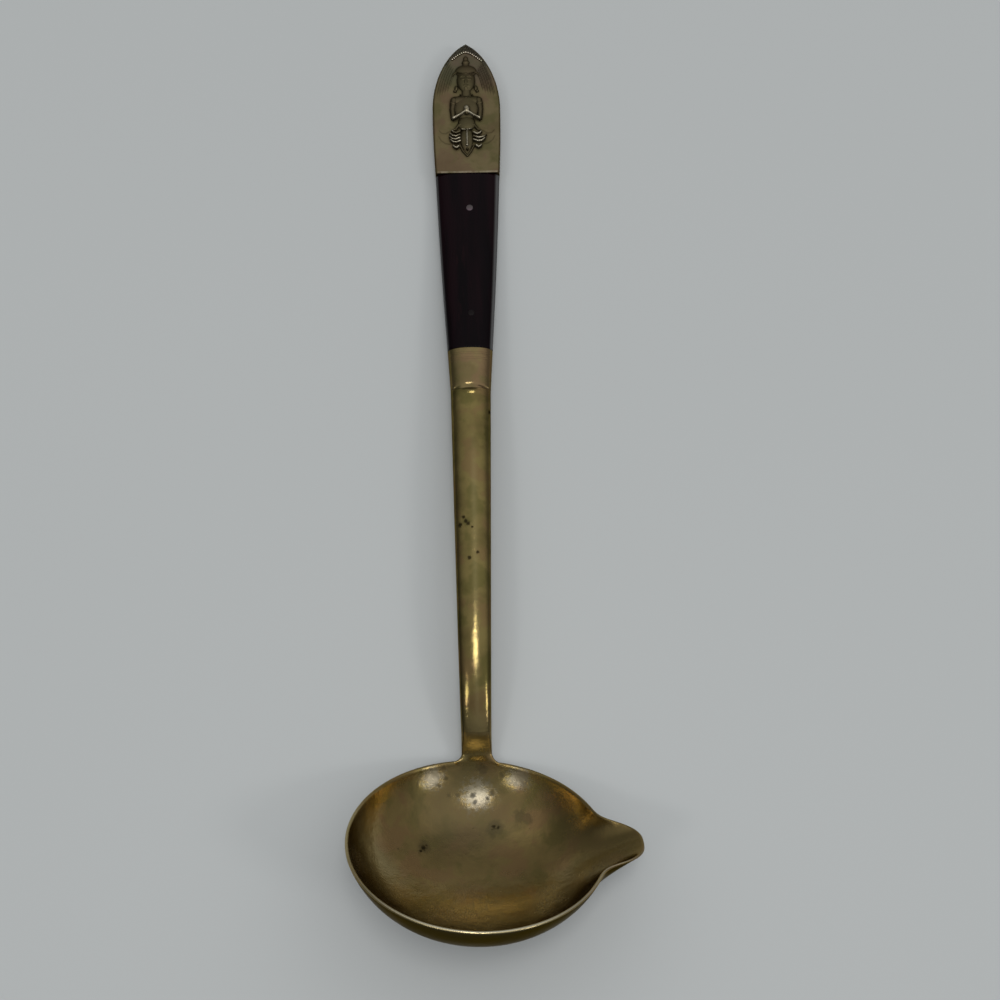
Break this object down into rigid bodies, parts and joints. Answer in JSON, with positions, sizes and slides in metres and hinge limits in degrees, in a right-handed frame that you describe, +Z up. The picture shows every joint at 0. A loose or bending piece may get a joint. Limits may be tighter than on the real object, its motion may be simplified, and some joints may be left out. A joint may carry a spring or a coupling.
{
  "type": "serving ladle",
  "caption": "Brass serving ladle with a side pouring lip, a gently arched shaft, a riveted dark wooden grip and a pointed finial with a figure in relief.",
  "frame": {"origin": "middle of the footprint, on the table that the ladle lies on", "axes": "+Y along the handle from the bowl to the tip of the finial, +Z up from the table, +X towards the pouring lip"},
  "size_m": [0.077, 0.2812, 0.0508],
  "materials": {
    "bowl": "aged, half polished",
    "shaft": "aged, half polished",
    "bolster": "aged, engraved lines",
    "finial": "cast, dark in the hollows",
    "grip": "oiled, glossy",
    "rivets": "peened flush"
  },
  "bodies": {
    "root": {"bowl": "bowl", "shaft_and_tang": "shaft", "bolster": "bolster", "finial": "finial", "front_scale": "grip", "back_scale": "grip", "upper_rivet": "rivets", "lower_rivet": "rivets"}
  },
  "joints": []
}
